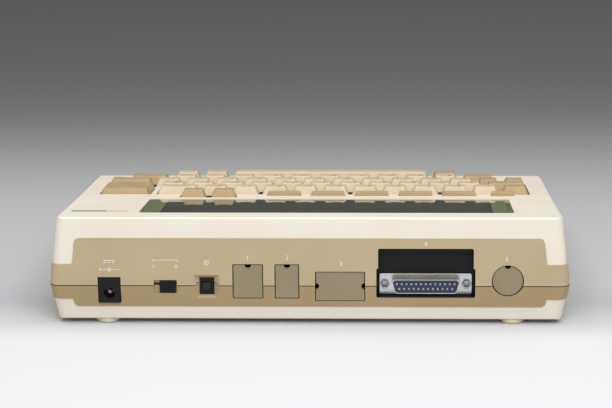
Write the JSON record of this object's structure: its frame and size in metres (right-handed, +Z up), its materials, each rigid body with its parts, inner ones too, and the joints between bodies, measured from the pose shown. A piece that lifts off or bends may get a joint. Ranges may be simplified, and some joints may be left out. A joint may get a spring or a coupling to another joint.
{
  "type": "notebook home computer",
  "caption": "Wedge-shaped portable home computer with a display window and keyboard on the sloping top and a row of ports, switches and port covers in a raised rear panel.",
  "frame": {"origin": "centre of the footprint, on the table under the feet", "axes": "+Z up, +Y towards the rear ports, -Y towards the user, +X to the user's right, which is left when seen from behind"},
  "size_m": [0.3, 0.215, 0.0644],
  "materials": {
    "cream_case": "fine moulded texture",
    "tan_belt": "satin paint on plastic",
    "tan_key": "moulded, slightly glossy",
    "cream_key": "moulded, slightly glossy",
    "window": "clear smoked acrylic",
    "green_print": "printed film behind the window",
    "lcd": "dark polarised glass",
    "plated_steel": "zinc plated",
    "black_plastic": "moulded",
    "circuit_board": "solder mask",
    "connector_metal": "tin plated",
    "blue_plastic": "moulded insulator",
    "grey_cover": "moulded, satin",
    "cell_jacket": "printed foil",
    "foot_rubber": "soft moulded",
    "screw_steel": "zinc plated"
  },
  "bodies": {
    "case": {"top_case": "cream_case", "bottom_case": "cream_case", "upper_belt": "tan_belt", "lower_belt": "tan_belt", "display_window": "window", "display_mask": "green_print", "display_panel": "lcd", "display_frame": "plated_steel", "keyboard_plate": "plated_steel", "key_switches": "black_plastic", "main_board": "circuit_board", "serial_port_shell": "connector_metal", "serial_port_insert": "blue_plastic", "power_inlet": "black_plastic", "switch_bodies": "black_plastic", "sio_sockets": "black_plastic", "bcr_socket": "black_plastic", "cassette_socket": "black_plastic", "battery_cells": "cell_jacket", "buzzer": "black_plastic", "feet": "foot_rubber", "case_screws": "screw_steel"},
    "stop_bar": {"stop_bar": "tan_key"},
    "function_bar_1": {"function_bar_1": "tan_key"},
    "function_bar_2": {"function_bar_2": "tan_key"},
    "function_bar_3": {"function_bar_3": "tan_key"},
    "function_bar_4": {"function_bar_4": "tan_key"},
    "function_bar_5": {"function_bar_5": "tan_key"},
    "edit_key_1": {"edit_key_1": "tan_key"},
    "edit_key_2": {"edit_key_2": "tan_key"},
    "cursor_up": {"cursor_up": "tan_key"},
    "cursor_down": {"cursor_down": "tan_key"},
    "cursor_left": {"cursor_left": "tan_key"},
    "cursor_right": {"cursor_right": "tan_key"},
    "escape_key": {"escape_key": "tan_key"},
    "tab_key": {"tab_key": "tan_key"},
    "control_key": {"control_key": "tan_key"},
    "caps_key": {"caps_key": "tan_key"},
    "left_shift": {"left_shift": "tan_key"},
    "right_shift": {"right_shift": "tan_key"},
    "return_key": {"return_key": "tan_key"},
    "graph_key": {"graph_key": "tan_key"},
    "space_bar": {"space_bar": "cream_key"},
    "mode_key": {"mode_key": "cream_key"},
    "code_key": {"code_key": "cream_key"},
    "number_keys": {"number_keys": "cream_key"},
    "upper_letter_keys": {"upper_letter_keys": "cream_key"},
    "middle_letter_keys": {"middle_letter_keys": "cream_key"},
    "lower_letter_keys": {"lower_letter_keys": "cream_key"},
    "protect_slider": {"protect_slider": "black_plastic"},
    "reset_button": {"reset_button": "black_plastic"},
    "sio1_cover": {"sio1_cover": "grey_cover"},
    "sio2_cover": {"sio2_cover": "grey_cover"},
    "bcr_cover": {"bcr_cover": "grey_cover"},
    "cassette_cover": {"cassette_cover": "grey_cover"},
    "battery_cover": {"battery_cover": "cream_case"},
    "memory_cover": {"memory_cover": "cream_case"},
    "power_knob": {"power_knob": "black_plastic"},
    "contrast_dial": {"contrast_dial": "black_plastic"},
    "slot_cover": {"slot_cover": "tan_belt"}
  },
  "joints": [
    {"name": "stop_bar_press", "type": "slide", "parent": "case", "child": "stop_bar", "axis": [0, 0.1297, -0.9916], "range_m": [0, 0.0018], "stiffness_N_per_m": 200, "springref_m": -0.002},
    {"name": "function_bar_1_press", "type": "slide", "parent": "case", "child": "function_bar_1", "axis": [0, 0.1297, -0.9916], "range_m": [0, 0.0018], "stiffness_N_per_m": 200, "springref_m": -0.002},
    {"name": "function_bar_2_press", "type": "slide", "parent": "case", "child": "function_bar_2", "axis": [0, 0.1297, -0.9916], "range_m": [0, 0.0018], "stiffness_N_per_m": 200, "springref_m": -0.002},
    {"name": "function_bar_3_press", "type": "slide", "parent": "case", "child": "function_bar_3", "axis": [0, 0.1297, -0.9916], "range_m": [0, 0.0018], "stiffness_N_per_m": 200, "springref_m": -0.002},
    {"name": "function_bar_4_press", "type": "slide", "parent": "case", "child": "function_bar_4", "axis": [0, 0.1297, -0.9916], "range_m": [0, 0.0018], "stiffness_N_per_m": 200, "springref_m": -0.002},
    {"name": "function_bar_5_press", "type": "slide", "parent": "case", "child": "function_bar_5", "axis": [0, 0.1297, -0.9916], "range_m": [0, 0.0018], "stiffness_N_per_m": 200, "springref_m": -0.002},
    {"name": "edit_key_1_press", "type": "slide", "parent": "case", "child": "edit_key_1", "axis": [0, 0.1297, -0.9916], "range_m": [0, 0.003], "stiffness_N_per_m": 150, "springref_m": -0.003},
    {"name": "edit_key_2_press", "type": "slide", "parent": "case", "child": "edit_key_2", "axis": [0, 0.1297, -0.9916], "range_m": [0, 0.003], "stiffness_N_per_m": 150, "springref_m": -0.003},
    {"name": "cursor_up_press", "type": "slide", "parent": "case", "child": "cursor_up", "axis": [0, 0.1297, -0.9916], "range_m": [0, 0.003], "stiffness_N_per_m": 150, "springref_m": -0.003},
    {"name": "cursor_down_press", "type": "slide", "parent": "case", "child": "cursor_down", "axis": [0, 0.1297, -0.9916], "range_m": [0, 0.003], "stiffness_N_per_m": 150, "springref_m": -0.003},
    {"name": "cursor_left_press", "type": "slide", "parent": "case", "child": "cursor_left", "axis": [0, 0.1297, -0.9916], "range_m": [0, 0.003], "stiffness_N_per_m": 150, "springref_m": -0.003},
    {"name": "cursor_right_press", "type": "slide", "parent": "case", "child": "cursor_right", "axis": [0, 0.1297, -0.9916], "range_m": [0, 0.003], "stiffness_N_per_m": 150, "springref_m": -0.003},
    {"name": "escape_key_press", "type": "slide", "parent": "case", "child": "escape_key", "axis": [0, 0.1297, -0.9916], "range_m": [0, 0.003], "stiffness_N_per_m": 150, "springref_m": -0.003},
    {"name": "tab_key_press", "type": "slide", "parent": "case", "child": "tab_key", "axis": [0, 0.1297, -0.9916], "range_m": [0, 0.003], "stiffness_N_per_m": 150, "springref_m": -0.003},
    {"name": "control_key_press", "type": "slide", "parent": "case", "child": "control_key", "axis": [0, 0.1297, -0.9916], "range_m": [0, 0.003], "stiffness_N_per_m": 150, "springref_m": -0.003},
    {"name": "caps_key_press", "type": "slide", "parent": "case", "child": "caps_key", "axis": [0, 0.1297, -0.9916], "range_m": [0, 0.003], "stiffness_N_per_m": 150, "springref_m": -0.003},
    {"name": "left_shift_press", "type": "slide", "parent": "case", "child": "left_shift", "axis": [0, 0.1297, -0.9916], "range_m": [0, 0.003], "stiffness_N_per_m": 150, "springref_m": -0.003},
    {"name": "right_shift_press", "type": "slide", "parent": "case", "child": "right_shift", "axis": [0, 0.1297, -0.9916], "range_m": [0, 0.003], "stiffness_N_per_m": 150, "springref_m": -0.003},
    {"name": "return_key_press", "type": "slide", "parent": "case", "child": "return_key", "axis": [0, 0.1297, -0.9916], "range_m": [0, 0.003], "stiffness_N_per_m": 150, "springref_m": -0.003},
    {"name": "graph_key_press", "type": "slide", "parent": "case", "child": "graph_key", "axis": [0, 0.1297, -0.9916], "range_m": [0, 0.003], "stiffness_N_per_m": 150, "springref_m": -0.003},
    {"name": "space_bar_press", "type": "slide", "parent": "case", "child": "space_bar", "axis": [0, 0.1297, -0.9916], "range_m": [0, 0.003], "stiffness_N_per_m": 220, "springref_m": -0.003},
    {"name": "mode_key_press", "type": "slide", "parent": "case", "child": "mode_key", "axis": [0, 0.1297, -0.9916], "range_m": [0, 0.003], "stiffness_N_per_m": 150, "springref_m": -0.003},
    {"name": "code_key_press", "type": "slide", "parent": "case", "child": "code_key", "axis": [0, 0.1297, -0.9916], "range_m": [0, 0.003], "stiffness_N_per_m": 150, "springref_m": -0.003},
    {"name": "number_keys_press", "type": "slide", "parent": "case", "child": "number_keys", "axis": [0, 0.1297, -0.9916], "range_m": [0, 0.003], "stiffness_N_per_m": 900, "springref_m": -0.003},
    {"name": "upper_letter_keys_press", "type": "slide", "parent": "case", "child": "upper_letter_keys", "axis": [0, 0.1297, -0.9916], "range_m": [0, 0.003], "stiffness_N_per_m": 900, "springref_m": -0.003},
    {"name": "middle_letter_keys_press", "type": "slide", "parent": "case", "child": "middle_letter_keys", "axis": [0, 0.1297, -0.9916], "range_m": [0, 0.003], "stiffness_N_per_m": 900, "springref_m": -0.003},
    {"name": "lower_letter_keys_press", "type": "slide", "parent": "case", "child": "lower_letter_keys", "axis": [0, 0.1297, -0.9916], "range_m": [0, 0.003], "stiffness_N_per_m": 900, "springref_m": -0.003},
    {"name": "reset_press", "type": "slide", "parent": "case", "child": "reset_button", "axis": [0, -1, 0], "range_m": [0, 0.0015], "stiffness_N_per_m": 300, "springref_m": -0.001},
    {"name": "protect_slide", "type": "slide", "parent": "case", "child": "protect_slider", "axis": [1, 0, 0], "range_m": [0, 0.0027]},
    {"name": "sio1_cover_pull", "type": "slide", "parent": "case", "child": "sio1_cover", "axis": [0, 1, 0], "range_m": [0, 0.012]},
    {"name": "sio2_cover_pull", "type": "slide", "parent": "case", "child": "sio2_cover", "axis": [0, 1, 0], "range_m": [0, 0.012]},
    {"name": "bcr_cover_pull", "type": "slide", "parent": "case", "child": "bcr_cover", "axis": [0, 1, 0], "range_m": [0, 0.012]},
    {"name": "cassette_cover_pull", "type": "slide", "parent": "case", "child": "cassette_cover", "axis": [0, 1, 0], "range_m": [0, 0.012]},
    {"name": "battery_cover_drop", "type": "slide", "parent": "case", "child": "battery_cover", "axis": [0, 0, -1], "range_m": [0, 0.012]},
    {"name": "memory_cover_drop", "type": "slide", "parent": "case", "child": "memory_cover", "axis": [0, 0, -1], "range_m": [0, 0.012]},
    {"name": "power_slide", "type": "slide", "parent": "case", "child": "power_knob", "axis": [0, 1, 0], "range_m": [0, 0.004]},
    {"name": "contrast_turn", "type": "hinge", "parent": "case", "child": "contrast_dial", "pos_m": [0.13887, 0.0224, 0.021], "axis": [0, 0, 1], "range_deg": [-135, 135]},
    {"name": "slot_cover_pull", "type": "slide", "parent": "case", "child": "slot_cover", "axis": [-1, 0, 0], "range_m": [0, 0.012]}
  ]
}
